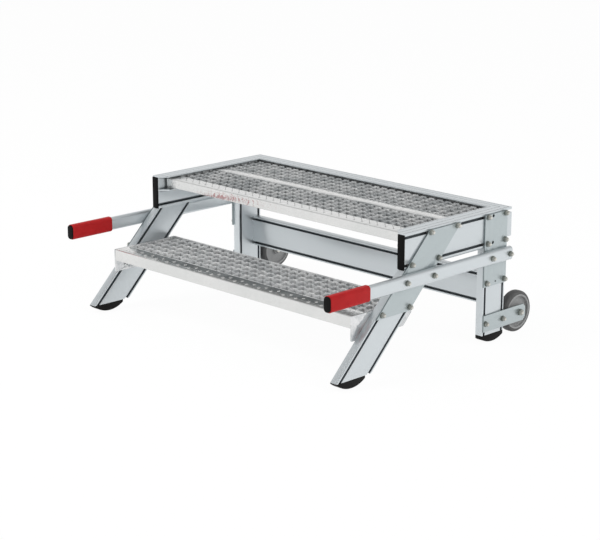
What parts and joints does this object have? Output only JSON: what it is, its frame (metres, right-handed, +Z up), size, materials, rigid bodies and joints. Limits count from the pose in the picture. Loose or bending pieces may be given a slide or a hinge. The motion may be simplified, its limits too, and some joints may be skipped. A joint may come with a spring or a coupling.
{
  "type": "mobile work platform",
  "caption": "Low mobile work platform: slotted frame with a grating deck and a lower step, carrying handles in front and wheels behind the rear legs.",
  "frame": {"origin": "middle of the footprint's bounding box, on the floor", "axes": "+X across the platform to the right, as seen from the step's side; +Y from the step to the wheels; +Z up"},
  "size_m": [1.135, 0.8946, 0.392],
  "materials": {
    "profile": "glossy anodised",
    "plate": "satin anodised",
    "bright_sheet": "galvanised, bright, slightly mottled",
    "grating": "hot-dip galvanised",
    "fastener": "zinc plated",
    "bush": "satin",
    "black_plastic": "fine grain",
    "grey_plastic": "fine grain",
    "foot_rubber": "matt",
    "grip_red": "soft vinyl, satin",
    "tyre": "grey thermoplastic rubber",
    "rim": "moulded polypropylene"
  },
  "bodies": {
    "frame": {"left_side_rail": "profile", "right_side_rail": "profile", "back_rail": "profile", "left_front_leg": "profile", "right_front_leg": "profile", "left_rear_leg": "profile", "right_rear_leg": "profile", "cross_beam": "profile", "left_handle_tube": "profile", "right_handle_tube": "profile", "left_front_gusset": "plate", "right_front_gusset": "plate", "left_rear_gusset": "plate", "right_rear_gusset": "plate", "left_wheel_bracket": "plate", "right_wheel_bracket": "plate", "deck_nosing": "bright_sheet", "deck_joint_strip": "bright_sheet", "step_nosing": "bright_sheet", "left_step_end_plate": "bright_sheet", "right_step_end_plate": "bright_sheet", "deck_front_grating": "grating", "deck_rear_grating": "grating", "step_grating": "grating", "corner_keys": "fastener", "beam_tenons": "fastener", "beam_screws": "fastener", "left_axle_bolt": "fastener", "right_axle_bolt": "fastener", "axle_washers": "fastener", "axle_nuts": "fastener", "deck_screws": "fastener", "step_bolts": "fastener", "step_t_nuts": "fastener", "plate_t_bolts": "fastener", "plate_washers": "fastener", "plate_nuts": "fastener", "handle_t_bolts": "fastener", "handle_washers": "fastener", "handle_nuts": "fastener", "left_rail_end_cap": "black_plastic", "right_rail_end_cap": "black_plastic", "left_handle_plug": "black_plastic", "right_handle_plug": "black_plastic", "left_handle_cap": "grey_plastic", "right_handle_cap": "grey_plastic", "left_front_foot": "foot_rubber", "right_front_foot": "foot_rubber", "left_rear_foot": "foot_rubber", "right_rear_foot": "foot_rubber", "left_grip": "grip_red", "right_grip": "grip_red"},
    "left_wheel": {"left_tyre": "tyre", "left_rim": "rim", "left_bush": "bush"},
    "right_wheel": {"right_tyre": "tyre", "right_rim": "rim", "right_bush": "bush"}
  },
  "joints": [
    {"name": "left_wheel_spin", "type": "hinge", "parent": "frame", "child": "left_wheel", "pos_m": [-0.513, 0.38475, 0.0635], "axis": [1, 0, 0], "continuous": true},
    {"name": "right_wheel_spin", "type": "hinge", "parent": "frame", "child": "right_wheel", "pos_m": [0.513, 0.38475, 0.0635], "axis": [1, 0, 0], "continuous": true}
  ]
}
